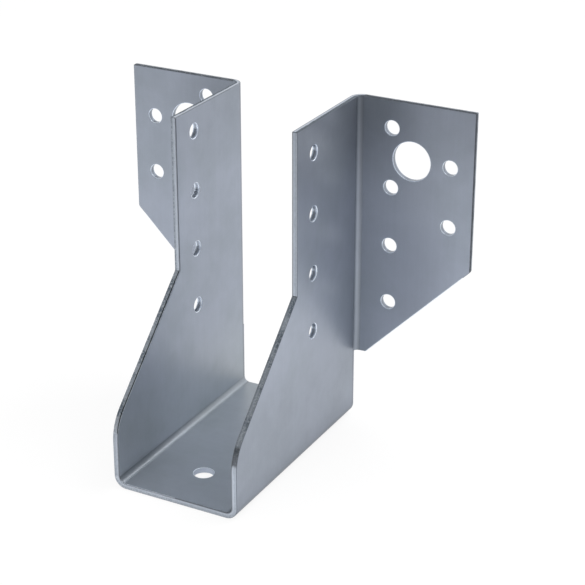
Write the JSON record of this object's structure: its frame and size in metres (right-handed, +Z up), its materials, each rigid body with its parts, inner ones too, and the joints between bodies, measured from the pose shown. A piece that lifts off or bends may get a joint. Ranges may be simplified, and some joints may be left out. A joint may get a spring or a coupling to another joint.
{
  "type": "joist hanger",
  "caption": "Joist hanger folded from one galvanised sheet: a U-shaped pocket with sloping wall fronts, and an outward nailing flange on each side.",
  "frame": {"origin": "middle of the part's footprint, on the plane that the underside of the seat stands on", "axes": "+X across the joist towards one flange, +Y towards the header that the flanges are fixed to, +Z up the walls"},
  "size_m": [0.1244, 0.082, 0.1131],
  "materials": {
    "galvanised_sheet": "galvanised sheet, satin, with plain sheared edges"
  },
  "bodies": {
    "root": {"hanger": "galvanised_sheet"}
  },
  "joints": []
}
